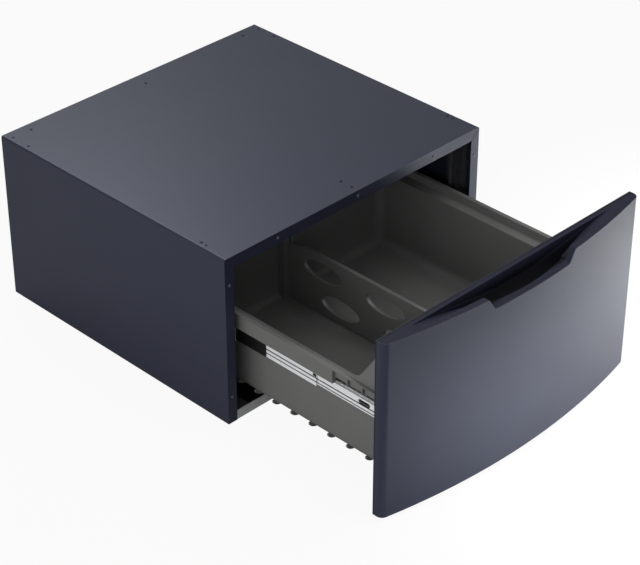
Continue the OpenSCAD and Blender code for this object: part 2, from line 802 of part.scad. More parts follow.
// Deep part of the hollow, grown by d: a scooped trough whose front edge runs out in points at both ends
module grip_trough(d = 0) {
    bell = [for (i = [-curve_n:curve_n])
        [grip_point * i / curve_n, -grip_back - d - grip_wide * pow(cos(90 * i / curve_n), 2)]];
    line = concat([[-grip_point, 0]], bell, [[grip_point, 0]]);
    intersection() {
        translate([0, 0, cap_z - past]) linear_extrude(cap_h + 2 * past) polygon(d > 0 ? line : bell);
        translate([0, scoop_y, front_top]) rod_x(grip_depth + d, -grip_half, grip_half);
    }
}

// Moulded top cap with the handle hollow and the finger notch, open underneath
module front_cap() {
    color(navy_dark) at_front() difference() {
        translate([0, 0, cap_z]) linear_extrude(cap_h - cap_drop) moulding_plan();
        grip_dish();
        grip_trough();
        along_y(-front_bow_d - past, -front_edge_d) notch_outline();
        difference() {
            translate([0, 0, cap_z - past])
                linear_extrude(cap_h - notch_h - cap_t + past) moulding_plan(cap_t);
            grip_trough(cap_t);
        }
    }
}

// Moulded tray that closes the bottom
module front_trim() {
    color(navy_dark) at_front() difference() {
        translate([0, 0, front_z]) linear_extrude(trim_h) moulding_plan();
        translate([0, 0, front_z + cap_t]) linear_extrude(trim_h) moulding_plan(cap_t);
    }
}

module front_screws() {
    color(screw_steel) at_front() {
        front_holes(screw_r, -pan_t, bin_t + head_h / 2);
        front_holes(head_r, bin_t, bin_t + head_h);
    }
}

module bumpers() {
    color(black_plastic) at_front()
        for (z = [wrap_z + bumper_rise, deck_z - bumper_drop]) both()
            translate([cab_w / 2 - side_flange / 2, 0, z]) rod_y(bumper_r, 0, front_gap - slide_fit);
}

// Plan of the bin, grown by d, with rounded rear corners
module bin_plan(d, y0) {
    w = bin_half + d;
    r = bin_r + d;
    polygon(rounded([[-w, y0], [w, y0], [w, bin_l + d], [-w, bin_l + d]], [0, 0, r, r]));
}

// Block of the bin's shape, grown by d, with rounded lower edges, from height z0 up
module bin_block(d, y0, z1) {
    w = bin_half + d;
    r = bin_r + d;
    z0 = bin_floor_z - d;
    intersection() {
        translate([0, 0, z0]) linear_extrude(z1 - z0) bin_plan(d, y0);
        along_y(y0 - past, bin_l + d + past)
            polygon(rounded([[-w, z0], [w, z0], [w, z1 + past], [-w, z1 + past]], [r, r, 0, 0]));
        along_x(-w - past, w + past)
            polygon(rounded([[y0 - past, z0], [bin_l + d, z0], [bin_l + d, z1 + past],
                [y0 - past, z1 + past]], [0, r, 0, 0]));
    }
}

// Section of the rim: a ledge, a riser, a flat top and the skirt over the slide
function rim_path(u0) =
    let (u = u0 - rim_half)
    [[u + bin_half, ledge_z], [u + riser_in, ledge_z], [u + riser_in, rim_z], [u0, rim_z],
        [u0, rim_z - skirt_h]];

module rim_section(u0) { polygon(sheet(rim_path(u0), -rim_t)); }

module rim_short_section() {
    p = rim_path(rim_half);
    polygon(sheet([p[0], p[1], p[2], p[3]], -rim_t));
}

// Side plate that sweeps up from the rim to the drawer front
module wing() {
    low = ledge_z - rim_t;
    along_x(riser_in, riser_in + rim_t)
        polygon(rounded([[0, low], [wing_foot + wing_r, low], [wing_foot + wing_r, rim_z],
            [wing_foot, rim_z], [wing_nose, wing_z], [0, wing_z]], [0, 0, 0, wing_r, wing_nose_r, 0]));
}

module gusset(y) {
    along_y(y - rim_t / 2, y + rim_t / 2)
        rect(riser_in + rim_t / 2, ledge_z - rim_t, rim_half, rim_z - rim_t / 2);
}

module pillar(y0, y1) { block([-pillar_w / 2, y0, floor_under + bin_t / 2], [pillar_w / 2, y1, ledge_z]); }

// Upright slots for the divider's tongues, one in each pillar
module tongue_slots() {
    slot = tongue_t / 2 + slide_fit;
    rear = bin_l - pillar_d;
    front = bin_t + front_pillar_d;
    block([-slot, rear - past, bin_floor_z], [slot, rear + tongue_l + past, rim_z]);
    block([-slot, front - tongue_l - past, bin_floor_z], [slot, front + past, rim_z]);
}

// Moulded bin: tub, stepped rim, skirts, wings, gussets, floor ribs, slide pads and divider pillars
module drawer_bin() {
    ribs = floor((bin_l - bin_r - rib_first) / rib_pitch);
    color(bin_grey) at_front() difference() {
        union() {
            difference() {
                bin_block(bin_t, 0, tub_top);
                bin_block(0, bin_t, tub_top + past);
            }
            difference() {
                translate([0, 0, ledge_z - rim_t]) linear_extrude(rim_t)
                    rect(-bin_out, bin_t, bin_out, bin_l + bin_t);
                translate([0, 0, ledge_z - 2 * rim_t]) linear_extrude(3 * rim_t) bin_plan(0, -past);
            }
            both() along_y(skirt_front, rim_back) rim_section(rim_half);
            both() along_y(0, skirt_front + rim_t) rim_short_section();
            along_x(-rim_half, rim_half) rim_section(rim_back);
            both() block([riser_in, skirt_front, rim_z - skirt_h], [rim_half, skirt_front + rim_t, rim_z]);
            both() wing();
            for (i = [1:3]) both() gusset(skirt_front - i * gusset_pitch);
            difference() {
                intersection() {
                    bin_block(bin_t + rib_h, 0, floor_under + bin_r);
                    for (i = [0:ribs]) translate([0, rib_first + i * rib_pitch, 0])
                        along_y(-rib_t / 2, rib_t / 2)
                            rect(-bin_out, floor_under - rib_h, bin_out, floor_under + bin_r / 2);
                }
                bin_block(bin_t / 2, -past, tub_top);
            }
            for (y = slide_screw_y) both() translate([0, y + front_gap, slide_z])
                rod_x(pad_screw_r, bin_out - bin_t / 2, bin_out + slide_standoff);
            pillar(bin_l - pillar_d, bin_l + bin_t / 2);
            pillar(bin_t / 2, bin_t + front_pillar_d);
        }
        tongue_slots();
        translate([0, 0, ledge_z]) linear_extrude(rim_z - ledge_z + past)
            rect(-riser_in, -past, riser_in, bin_l + riser_in - bin_half);
        front_holes(screw_r + nest_fit, -past, bin_t + past);
        for (y = slide_screw_y) both() translate([0, y + front_gap, slide_z])
            rod_x(screw_r + race_fit, bin_half - past, bin_out + slide_standoff + past);
    }
}

module oval(y, z) {
    polygon([for (i = [0:curve_n - 1]) let (a = i * 360 / curve_n)
        [y + oval_a * cos(a), z + oval_b * sin(a)]]);
}

// Removable divider with oval openings; its tongues stand on the bin floor and slide in the pillars
module divider() {
    color(bin_grey) at_front() {
        along_x(-div_t / 2, div_t / 2) difference() {
            polygon(rounded([[div_y0, div_z], [div_y1, div_z], [div_y1, div_top - div_dip],
                [div_y1 - div_dip_l, div_top], [div_y0, div_top]],
                [div_r, div_r, div_r, div_dip_r, div_r], 4));
            for (i = [0:2]) oval(div_y1 - oval_high_y - i * oval_step, oval_high);
            for (i = [0:1]) oval(div_y1 - oval_low_y - i * oval_step, oval_low);
        }
        reach = div_gap + tongue_l;
        for (y = [[div_y0 - reach, div_y0 + div_r], [div_y1 - div_r, div_y1 + reach]])
            block([-tongue_t / 2, y[0], bin_floor_z + slide_fit],
                [tongue_t / 2, y[1], div_top - div_dip - tongue_drop]);
    }
}

module flange_screws() {
    color(navy) at_cabinet() {
        flange_hole_set(screw_r, 0, screw_l);
        flange_hole_set(head_r, -head_h, 0);
    }
}

module deck_screws() {
    seat = deck_z - head_sink;
    color(navy) at_cabinet() {
        deck_hole_row(screw_r, deck_under - screw_l / 2, seat + flush_h);
        deck_hole_row(head_r, seat, seat + flush_h);
    }
}

module rear_screws() {
    seat = cab_d - head_sink;
    color(screw_steel) at_cabinet() {
        rear_holes(screw_r, cab_d - screw_l, seat + flush_h);
        rear_holes(head_r, seat, seat + flush_h);
    }
}

module foot_nuts() {
    color(zinc) at_cabinet() both() for (y = foot_y) translate([foot_x, y, wrap_z + rail_t]) difference() {
        cylinder(r = nut_r, h = nut_h, $fn = 6);
        rod_z(stud_r + race_fit, -past, nut_h + past);
    }
}

module foot_stud(side, row) {
    color(zinc) at_cabinet() translate([side * foot_x, foot_y[row]]) rod_z(stud_r, pad_h, stud_top);
}

module foot_pad(side, row) {
    color(black_plastic) at_cabinet() translate([side * foot_x, foot_y[row]]) {
        cylinder(r1 = pad_r - 1, r2 = pad_r, h = 1, $fn = round_fn);
        rod_z(pad_r, 1, pad_h / 2);
        translate([0, 0, pad_h / 2]) cylinder(r1 = pad_r, r2 = stud_r * 1.6, h = pad_h / 2, $fn = round_fn);
    }
}

cabinet_wrap();
rear_panel();
front_base_bar();
rear_base_bar();
base_rail(LEFT);  // base_rail_left
base_rail(RIGHT);  // base_rail_right
base_pan();
corner_post(LEFT, post_front_y, deck_post_y[0]);  // front_post_left
corner_post(RIGHT, post_front_y, deck_post_y[0]);  // front_post_right
corner_post(LEFT, rear_post_y, deck_post_y[1]);  // rear_post_left
corner_post(RIGHT, rear_post_y, deck_post_y[1]);  // rear_post_right
deck_brace();
slide_bracket(LEFT);  // slide_bracket_left
slide_bracket(RIGHT);  // slide_bracket_right
slide_fixed(LEFT);  // slide_fixed_left
slide_fixed(RIGHT);  // slide_fixed_right
bracket_rivets();
flange_screws();
deck_screws();
rear_screws();
foot_nuts();
foot_stud(LEFT, 0);  // foot_stud_front_left
foot_stud(RIGHT, 0);  // foot_stud_front_right
foot_stud(LEFT, 1);  // foot_stud_rear_left
foot_stud(RIGHT, 1);  // foot_stud_rear_right
foot_pad(LEFT, 0);  // foot_pad_front_left
foot_pad(RIGHT, 0);  // foot_pad_front_right
foot_pad(LEFT, 1);  // foot_pad_rear_left
foot_pad(RIGHT, 1);  // foot_pad_rear_right
drawer_bin();
front_skin();
front_pan();
front_cap();
front_trim();
front_screws();
bumpers();
slide_drawer(LEFT);  // slide_drawer_left
slide_drawer(RIGHT);  // slide_drawer_right
slide_screws();
slide_middle(LEFT);  // slide_middle_left
slide_middle(RIGHT);  // slide_middle_right
slide_stop(LEFT);  // slide_stop_left
slide_stop(RIGHT);  // slide_stop_right
outer_cage(LEFT);  // outer_cage_left
outer_cage(RIGHT);  // outer_cage_right
inner_cage(LEFT);  // inner_cage_left
inner_cage(RIGHT);  // inner_cage_right
release_lever(LEFT);  // release_lever_left
release_lever(RIGHT);  // release_lever_right
divider();
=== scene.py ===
import json
import math

import bmesh
import bpy
from mathutils import Matrix, Vector


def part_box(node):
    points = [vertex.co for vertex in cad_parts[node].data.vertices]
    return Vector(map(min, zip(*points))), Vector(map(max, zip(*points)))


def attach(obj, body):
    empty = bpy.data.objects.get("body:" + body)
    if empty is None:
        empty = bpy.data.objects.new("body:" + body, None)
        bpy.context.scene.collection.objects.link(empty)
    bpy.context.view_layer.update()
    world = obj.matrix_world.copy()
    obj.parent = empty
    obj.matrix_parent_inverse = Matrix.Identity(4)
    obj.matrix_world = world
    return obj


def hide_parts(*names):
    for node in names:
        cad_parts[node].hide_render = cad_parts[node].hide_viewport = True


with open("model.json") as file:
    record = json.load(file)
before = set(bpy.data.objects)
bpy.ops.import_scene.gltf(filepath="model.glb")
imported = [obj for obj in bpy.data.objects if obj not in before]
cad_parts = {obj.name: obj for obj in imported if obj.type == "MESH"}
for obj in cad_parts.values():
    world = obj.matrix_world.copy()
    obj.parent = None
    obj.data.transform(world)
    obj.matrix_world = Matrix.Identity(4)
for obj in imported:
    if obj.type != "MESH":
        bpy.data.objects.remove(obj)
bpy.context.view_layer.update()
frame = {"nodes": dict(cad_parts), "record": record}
NODES = frame["nodes"]
SLOT_OF = {s["node"]: s["material_slot"] for s in frame["record"]["subparts"]}
BODIES = frame["record"]["behaviour"]["bodies"]
BODY_OF = {node: body for body, group in BODIES.items() for node in group}

# Sizes repeated from the part's source, in metres

# The cabinet: the plane of its front flanges, its width and depth, its lower and upper edge,
# and the widths of its folded flanges
ORIGIN_Y = -0.103
CAB_W = 0.686
CAB_D = 0.638
WRAP_Z = 0.010
DECK_Z = 0.375
TOP_FLANGE = 0.024
SIDE_FLANGE = 0.022

# Screws: the seat of a flush head lies deeper than the sheet's face
HEAD_R = 0.0032
HEAD_H = 0.0012
HEAD_SINK = 0.0006
FLUSH_HEAD_H = 0.0005
SHANK_R = 0.0018
FLANGE_SHANK = 0.007
DECK_SHANK = 0.0045
REAR_SHANK = 0.0064
SCREW_SIDES = 32
SCREW_TWIST = 0.7

# A head's profile in shares of its radius and height. The cross recess has an arm and a half
# width in shares of that radius, and its floor has shares of the arm, half width and height.
HEAD_PROFILE = ((1, 0), (1, 0.35), (0.9, 0.75), (0.72, 1))
CROSS_MOUTH = (0.55, 0.13)
CROSS_FLOOR = (0.6, 0.7, 0.2)

# Screw places: an inset is from the cabinet's nearest edge, a rise from its lower edge and a
# y from its front
FLANGE_SCREW_INSET = 0.133
SIDE_SCREW_INSET = 0.059
POST_SCREWS_Y = (0.073, CAB_D - 0.070)
BRACE_SCREWS_Y = (0.017, 0.046, CAB_D - 0.036)
PANEL_SCREW_INSET = 0.057
REAR_SCREW_INSET = 0.093
REAR_SCREW_RISE = 0.010
FRONT_SCREW_STEP = 0.130

# Threads of the foot studs: rings in a turn, sides of a ring and the share of the radius that
# is left at the very ends
THREAD_PITCH = 0.0015
THREAD_DEPTH = 0.0009
THREAD_RINGS = 6
THREAD_SIDES = 20
THREAD_LEAD = 0.82

# The drawer, open by its travel: DRAWER_Y is its own zero, which lies at ORIGIN_Y when shut
TRAVEL = 0.369
DRAWER_Y = ORIGIN_Y - TRAVEL

# The slides: each other z is above SLIDE_Z, and LIP_H is above the member's lower edge. A line
# is the band of painted shade along a bead, along the lip's groove or along the slot.
SLIDE_Z = 0.1815
BALL_D = 0.0024
WEB_T = 0.0012
LIP_H = 0.0115
SLOT_W = 0.001
LIP_LINE_Z = -0.009
SLOT_LINE_Z = -0.001
BEAD_Z = (0.0019, -0.0066)
BEAD_W = 0.0012
BEAD_D = 0.0006
WIDE_LINE = 0.0013
NARROW_LINE = 0.0011
SHADE_LINE_SHARE = 0.03
PIN_R = 0.0015

# The release levers: the pin is LEVER_Y behind DRAWER_Y and LEVER_RISE above SLIDE_Z. The
# profile has pairs of inset from the outline and depth below the outer face.
LEVER_Y = 0.082
LEVER_RISE = 0.0046
LEVER_L = 0.028
LEVER_H = 0.008
LEVER_T = 0.006
LEVER_ARC = 16
LEVER_PROFILE = (
    (0, LEVER_T),
    (0, 0.0003),
    (0.0004, 0),
    (0.0009, 0),
    (0.0012, 0.0012),
    (0.0022, 0.0012),
    (0.0026, 0.0004),
)

# The handle hollow gets painted shade that darkens with depth, except on the lip in front of it
HOLLOW_SHADE_SHARE = 0.1
HOLLOW_SHADE_RANGES = (("Z", 0.381, 0.357), ("Y", -0.521, -0.513))

# Margins for choosing polygons by their place
HAIR = 0.00005
NEAR = 0.0001

# Bevel widths
EDGE_BEVEL = 0.0004
SLIDE_BEVEL = 0.00012
FINE_BEVEL = 0.0001


def linear(rgb):
    """sRGB 0-255 to linear."""
    out = []
    for v in rgb:
        c = v / 255
        out.append(c / 12.92 if c <= 0.04045 else ((c + 0.055) / 1.055) ** 2.4)
    return (*out, 1.0)


# Materials
def new_material(name):
    mat = bpy.data.materials.new(name)
    mat.use_nodes = True
    tree = mat.node_tree
    return mat, tree, tree.nodes["Principled BSDF"]


def link(tree, a, b):
    tree.links.new(a, b)


def noise(tree, scale, detail):
    coord = tree.nodes.new("ShaderNodeTexCoord")
    tex = tree.nodes.new("ShaderNodeTexNoise")
    tex.inputs["Scale"].default_value = scale
    tex.inputs["Detail"].default_value = detail
    tex.inputs["Roughness"].default_value = 0.55
    link(tree, coord.outputs["Object"], tex.inputs["Vector"])
    return tex


def ramp(tree, source, low, high, a=0.35, b=0.65):
    """Colours from low where the source is at a to high where it is at b."""
    node = tree.nodes.new("ShaderNodeValToRGB")
    node.color_ramp.elements[0].position = a
    node.color_ramp.elements[0].color = low
    node.color_ramp.elements[1].position = b
    node.color_ramp.elements[1].color = high
    link(tree, source, node.inputs["Fac"])
    return node


def bump(tree, source, strength, distance):
    node = tree.nodes.new("ShaderNodeBump")
    node.inputs["Strength"].default_value = strength
    node.inputs["Distance"].default_value = distance
    link(tree, source, node.inputs["Height"])
    return node


def calculate(tree, operation, a, b=0.0):
    """The operation on the socket a and on b, a number or another socket."""
    node = tree.nodes.new("ShaderNodeMath")
    node.operation = operation
    link(tree, a, node.inputs[0])
    if isinstance(b, (int, float)):
        node.inputs[1].default_value = b
    else:
        link(tree, b, node.inputs[1])
    return node.outputs[0]


def largest(tree, sockets):
    """The largest of the sockets' values."""
    total = sockets[0]
    for socket in sockets[1:]:
        total = calculate(tree, "MAXIMUM", total, socket)
    return total


def axes(tree):
    """The X, Y and Z sockets of a place on the object."""
    coord = tree.nodes.new("ShaderNodeTexCoord")
    split = tree.nodes.new("ShaderNodeSeparateXYZ")
    link(tree, coord.outputs["Object"], split.inputs["Vector"])
    return split.outputs


def smooth_step(tree, source, start, end, low, high):
    """A smooth change from low where the source is at start to high where it is at end."""
    node = tree.nodes.new("ShaderNodeMapRange")
    node.interpolation_type = "SMOOTHSTEP"
    node.inputs["From Min"].default_value = start
    node.inputs["From Max"].default_value = end
    node.inputs["To Min"].default_value = low
    node.inputs["To Max"].default_value = high
    link(tree, source, node.inputs["Value"])
    return node.outputs["Result"]


def times(tree, color, share):
    """The colour's socket times the share's."""
    node = tree.nodes.new("ShaderNodeVectorMath")
    node.operation = "SCALE"
    link(tree, color, node.inputs[0])
    link(tree, share, node.inputs["Scale"])
    return node.outputs["Vector"]


def scaled(color, k):
    """The colour times k, opaque."""
    return (color[0] * k, color[1] * k, color[2] * k, 1.0)


def spread(tree, source, low, high):
    """A map range from the texture's middle band to low..high."""
    node = tree.nodes.new("ShaderNodeMapRange")
    node.inputs["From Min"].default_value = 0.3
    node.inputs["From Max"].default_value = 0.7
    node.inputs["To Min"].default_value = low
    node.inputs["To Max"].default_value = high
    link(tree, source, node.inputs["Value"])
    return node


def surface(name, rgb, rough, metallic=0.0, grain=900, depth=0.00004, strength=0.25,
            vary=0.06, rough_vary=0.05, specular=0.5, tint=(1, 1, 1)):
    """A principled surface with a fine grain, faint tone patches and an uneven gloss."""
    mat, tree, bsdf = new_material(name)
    color = linear(rgb)
    patches = noise(tree, scale=9.0, detail=3.0)
    tone = ramp(tree, patches.outputs["Fac"], scaled(color, 1 - vary), scaled(color, 1 + vary))
    link(tree, tone.outputs["Color"], bsdf.inputs["Base Color"])
    fine = noise(tree, scale=grain, detail=2.0)
    level = spread(tree, fine.outputs["Fac"], rough - rough_vary, rough + rough_vary)
    link(tree, level.outputs["Result"], bsdf.inputs["Roughness"])
    relief = bump(tree, fine.outputs["Fac"], strength, depth)
    link(tree, relief.outputs["Normal"], bsdf.inputs["Normal"])
    bsdf.inputs["Metallic"].default_value = metallic
    bsdf.inputs["Specular IOR Level"].default_value = specular
    bsdf.inputs["Specular Tint"].default_value = (*tint, 1)
    return mat


def galvanised(name, rgb, rough):
    """Hot-dip zinc: crystals of slightly different tone and gloss."""
    mat, tree, bsdf = new_material(name)
    coord = tree.nodes.new("ShaderNodeTexCoord")
    cells = tree.nodes.new("ShaderNodeTexVoronoi")
    cells.inputs["Scale"].default_value = 130
    link(tree, coord.outputs["Object"], cells.inputs["Vector"])
    grey = tree.nodes.new("ShaderNodeRGBToBW")
    link(tree, cells.outputs["Color"], grey.inputs["Color"])
    color = linear(rgb)
    tone = ramp(tree, grey.outputs["Val"], scaled(color, 0.92), scaled(color, 1.06), 0.2, 0.8)
    link(tree, tone.outputs["Color"], bsdf.inputs["Base Color"])
    level = spread(tree, grey.outputs["Val"], rough - 0.06, rough + 0.06)
    link(tree, level.outputs["Result"], bsdf.inputs["Roughness"])
    bsdf.inputs["Metallic"].default_value = 0.6
    return mat


def paint_shade(mat, low, ranges):
    """Painted shade: sinks the colour to low times itself where every (axis, start, end) range is
    past its end.
    """
    tree = mat.node_tree
    bsdf = tree.nodes["Principled BSDF"]
    color = bsdf.inputs["Base Color"].links[0].from_socket
    place = axes(tree)
    levels = [smooth_step(tree, place[axis], start, end, 1.0, low) for axis, start, end in ranges]
    link(tree, times(tree, color, largest(tree, levels)), bsdf.inputs["Base Color"])


def shade_bands(name, base, low, bands):
    """The base surface with bands of painted shade, sinking to low times its colour within half of
    each (z, half) band, where z is above SLIDE_Z."""
    mat = base.copy()
    mat.name = name
    tree = mat.node_tree
    bsdf = tree.nodes["Principled BSDF"]
    color = bsdf.inputs["Base Color"].links[0].from_socket
    place = axes(tree)
    for z, half in bands:
        away = calculate(tree, "SUBTRACT", place["Z"], SLIDE_Z + z)
        far = calculate(tree, "ABSOLUTE", away)
        level = smooth_step(tree, far, half * 0.8, half * 1.2, low, 1.0)
        color = times(tree, color, level)
    link(tree, color, bsdf.inputs["Base Color"])
    return mat


PAINT_TINT = (0.72, 0.80, 1.0)
BIN_GREY = (104, 104, 103)
MATERIALS = {
    "navy_paint": surface("navy_paint", (35, 37, 54), 0.36, grain=1400, vary=0.04,
                          rough_vary=0.03, tint=PAINT_TINT),
    "inner_paint": surface("inner_paint", (24, 25, 36), 0.5, grain=1400, specular=0.3),
    "galvanised_steel": galvanised("galvanised_steel", (205, 206, 207), 0.5),
    "bright_zinc": surface("bright_zinc", (243, 244, 246), 0.34, metallic=0.3, grain=500,
                           depth=0.00001, vary=0.02),
    "screw_steel": surface("screw_steel", (140, 141, 146), 0.35, metallic=0.9),
    # The painted screw heads are much lighter than the cabinet's navy: a painted highlight
    "painted_screws": surface("painted_screws", (100, 102, 116), 0.3, metallic=0.6),
    "bin_plastic": surface("bin_plastic", BIN_GREY, 0.55, grain=1100, depth=0.00008,
                           strength=0.35, vary=0.03, specular=0.3),
    "cap_plastic": surface("cap_plastic", (38, 40, 55), 0.55, grain=1300, depth=0.00005,
                           vary=0.03, specular=0.12),
    "black_nylon": surface("black_nylon", (14, 14, 15), 0.4, grain=700, specular=0.3),
    "black_rubber": surface("black_rubber", (16, 16, 16), 0.7, grain=500, specular=0.2),
}
DIVIDER = surface("divider_plastic", BIN_GREY, 0.4, grain=1100, depth=0.00008, strength=0.2,
                  vary=0.03, specular=1.0)
# Near-black heads for the flush deck screws: painted shade of their sunk seats
SHADED_HEADS = surface("screw_heads_painted_shade", (17, 18, 25), 0.5, specular=0.2)
# A light grey for the raised rim of the black lever: a painted highlight
LEVER_RIM_HIGHLIGHT = surface("lever_rim_painted_highlight", (165, 166, 170), 0.4, grain=700)
# A darker copy of galvanised steel: painted shade on the parts that stay in the dark of the cabinet
SHADED_STEEL = galvanised("galvanised_painted_shade", (74, 75, 78), 0.55)
SHADED_PARTS = ("front_post", "rear_post", "slide_bracket", "deck_brace", "base_rail")
# Near-black painted shade for the slides' pressed lines, slot and channel insides
SLIDE_SHADE = surface("slide_painted_shade", (15, 15, 17), 0.45, grain=600, depth=0.00008, vary=0.2,
                 specular=0.2)
# The cap's plastic with painted shade in the handle hollow
SHADED_HOLLOW = MATERIALS["cap_plastic"].copy()
SHADED_HOLLOW.name = "cap_hollow_painted_shade"
paint_shade(SHADED_HOLLOW, HOLLOW_SHADE_SHARE, HOLLOW_SHADE_RANGES)
ZINC = MATERIALS["bright_zinc"]
# Zinc with bands of painted shade along the pressed lines, the lip's groove and the slot
MIDDLE_ZINC_SHADED = shade_bands("middle_zinc_painted_shade", ZINC, SHADE_LINE_SHARE,
                     ((BEAD_Z[0], WIDE_LINE), (BEAD_Z[1], NARROW_LINE)))
DRAWER_ZINC_SHADED = shade_bands("drawer_zinc_painted_shade", ZINC, SHADE_LINE_SHARE,
                     ((SLOT_LINE_Z, WIDE_LINE), (LIP_LINE_Z, NARROW_LINE)))


def soften(obj, width=EDGE_BEVEL, segments=2, angle=35):
    """Smooth shading, with a narrow bevel on the sharp edges."""
    for poly in obj.data.polygons:
        poly.use_smooth = True
    mod = obj.modifiers.new("edge", "BEVEL")
    mod.width = width
    mod.segments = segments
    mod.limit_method = "ANGLE"
    mod.angle_limit = math.radians(angle)
    mod.harden_normals = True
    obj.data.set_sharp_from_angle(angle=math.radians(angle))
    flat = obj.modifiers.new("flat", "WEIGHTED_NORMAL")
    flat.keep_sharp = True


def paint_node(name):
    """The node's own material, or darker galvanised steel, painted shade, on what stays in the dark
    of the cabinet.
    """
    obj = NODES[name]
    obj.data.materials.clear()
    obj.data.materials.append(SHADED_STEEL if name.startswith(SHADED_PARTS) else MATERIALS[SLOT_OF[name]])
    soften(obj)


def repaint(obj, mat, chosen):
    """One more material, on the polygons whose centre is chosen."""
    obj.data.materials.append(mat)
    for poly in obj.data.polygons:
        if chosen(poly.center):
            poly.material_index = len(obj.data.materials) - 1


for node_name in NODES:
    paint_node(node_name)


# Detailed pieces
def mesh_object(name, bm, slot, body, *nodes):
    """A piece made from bm in the slot's material, on the body, that stands for the nodes."""
    bmesh.ops.recalc_face_normals(bm, faces=bm.faces)
    mesh = bpy.data.meshes.new(name)
    bm.to_mesh(mesh)
    bm.free()
    mesh.materials.append(MATERIALS[slot])
    obj = bpy.data.objects.new(name, mesh)
    bpy.context.collection.objects.link(obj)
    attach(obj, body)
    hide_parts(*nodes)
    return obj


def ring(bm, place, points):
    """New vertices at the points, carried by the matrix place."""
    return [bm.verts.new(place @ Vector(p)) for p in points]


def bridge(bm, rings):
    """Quads between each closed ring of vertices and the next, all with as many vertices."""
    for low, high in zip(rings, rings[1:]):
        n = len(low)
        for i in range(n):
            bm.faces.new((low[i], low[(i + 1) % n], high[(i + 1) % n], high[i]))


def close(bm, rings):
    """A closed solid along the rings."""
    bridge(bm, rings)
    bm.faces.new(rings[0])
    bm.faces.new(rings[-1])


def circle(r, z, n):
    angles = [math.tau * i / n for i in range(n)]
    return [(r * math.cos(a), r * math.sin(a), z) for a in angles]


def cross(arm, half, z):
    """Outline of a cross recess whose arms have that length and half width."""
    out = []
    for k in range(4):
        turn = Matrix.Rotation(k * math.pi / 2, 3, "Z")
        for p in ((arm, -half, z), (arm, half, z), (half, half, z)):
            out.append(tuple(turn @ Vector(p)))
    return out


def loop_edges(bm, loop):
    return [bm.edges.get((loop[i], loop[(i + 1) % len(loop)])) for i in range(len(loop))]


def add_screw(bm, place, height, length):
    """A cross-recess screw: a domed head above the plane z 0 and a pointed shank below it."""
    head = [ring(bm, place, circle(HEAD_R * wide, height * high, SCREW_SIDES))
            for wide, high in HEAD_PROFILE]
    bridge(bm, head)

    arm, half = (HEAD_R * share for share in CROSS_MOUTH)
    shorter, narrower, lower = CROSS_FLOOR
    mouth = ring(bm, place, cross(arm, half, height))
    floor = ring(bm, place, cross(arm * shorter, half * narrower, height * lower))
    bridge(bm, (mouth, floor))
    bm.faces.new(floor)
    rims = loop_edges(bm, head[-1]) + loop_edges(bm, mouth)
    bmesh.ops.triangle_fill(bm, use_beauty=True, use_dissolve=False, edges=rims)

    neck = ring(bm, place, circle(SHANK_R, 0, SCREW_SIDES))
    tip = ring(bm, place, circle(SHANK_R, SHANK_R - length, SCREW_SIDES))
    point = bm.verts.new(place @ Vector((0, 0, -length)))
    bridge(bm, (head[0], neck, tip))
    for i in range(len(tip)):
        bm.faces.new((tip[i], tip[(i + 1) % len(tip)], point))


def facing(spot, axis, twist):
    """Matrix that carries the origin to the spot and z to the axis, turned by the twist."""
    turn = Vector(axis).to_track_quat("Z", "Y").to_matrix().to_4x4()
    return Matrix.Translation(spot) @ turn @ Matrix.Rotation(twist, 4, "Z")


def screw_set(name, spots, axis, height, length):
    """The screws of one CAD node as one piece, each head turned a little differently."""
    bm = bmesh.new()
    for i, spot in enumerate(spots):
        add_screw(bm, facing(spot, axis, SCREW_TWIST * i), height, length)
    obj = mesh_object(name + "_crosshead", bm, SLOT_OF[name], BODY_OF[name], name)
    soften(obj, FINE_BEVEL, 2, 30)
    return obj


def make_flange_screws():
    z = DECK_Z - TOP_FLANGE / 2
    top_x = CAB_W / 2 - FLANGE_SCREW_INSET
    side_x = CAB_W / 2 - SIDE_FLANGE / 2
    side_z = (WRAP_Z + SIDE_SCREW_INSET, DECK_Z - SIDE_SCREW_INSET)
    spots = [(x, ORIGIN_Y, z) for x in (-top_x, 0, top_x)]
    spots += [(k * side_x, ORIGIN_Y, z) for k in (-1, 1) for z in side_z]
    screw_set("flange_screws", spots, (0, -1, 0), HEAD_H, FLANGE_SHANK)


def make_deck_screws():
    """Flush screws into the posts, the rear panel and the brace under the deck."""
    lo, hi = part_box("deck_screws")
    z = DECK_Z - HEAD_SINK
    corner_x = hi[0] - HEAD_R
    panel_x = CAB_W / 2 - PANEL_SCREW_INSET
    spots = [(k * corner_x, ORIGIN_Y + y, z) for k in (-1, 1) for y in POST_SCREWS_Y]
    spots += [(k * panel_x, hi[1] - HEAD_R, z) for k in (-1, 1)]
    spots += [(0, ORIGIN_Y + y, z) for y in BRACE_SCREWS_Y]
    obj = screw_set("deck_screws", spots, (0, 0, 1), FLUSH_HEAD_H, DECK_SHANK)
    # The flush heads get painted shade
    obj.data.materials[0] = SHADED_HEADS


def make_rear_screws():
    x = CAB_W / 2 - REAR_SCREW_INSET
    y = ORIGIN_Y + CAB_D - HEAD_SINK
    spots = [(k * x, y, WRAP_Z + REAR_SCREW_RISE) for k in (-1, 0, 1)]
    screw_set("rear_screws", spots, (0, 1, 0), FLUSH_HEAD_H, REAR_SHANK)


def make_front_screws():
    """Screws behind the drawer's front, in two columns on each side."""
    lo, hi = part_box("front_screws")
    outer_x = hi[0] - HEAD_R
    y = hi[1] - HEAD_H
    columns = (outer_x, outer_x - FRONT_SCREW_STEP)
    rows = (lo[2] + HEAD_R, hi[2] - HEAD_R)
    spots = [(k * x, y, z) for k in (-1, 1) for x in columns for z in rows]
    screw_set("front_screws", spots, (0, 1, 0), HEAD_H, y - lo[1])


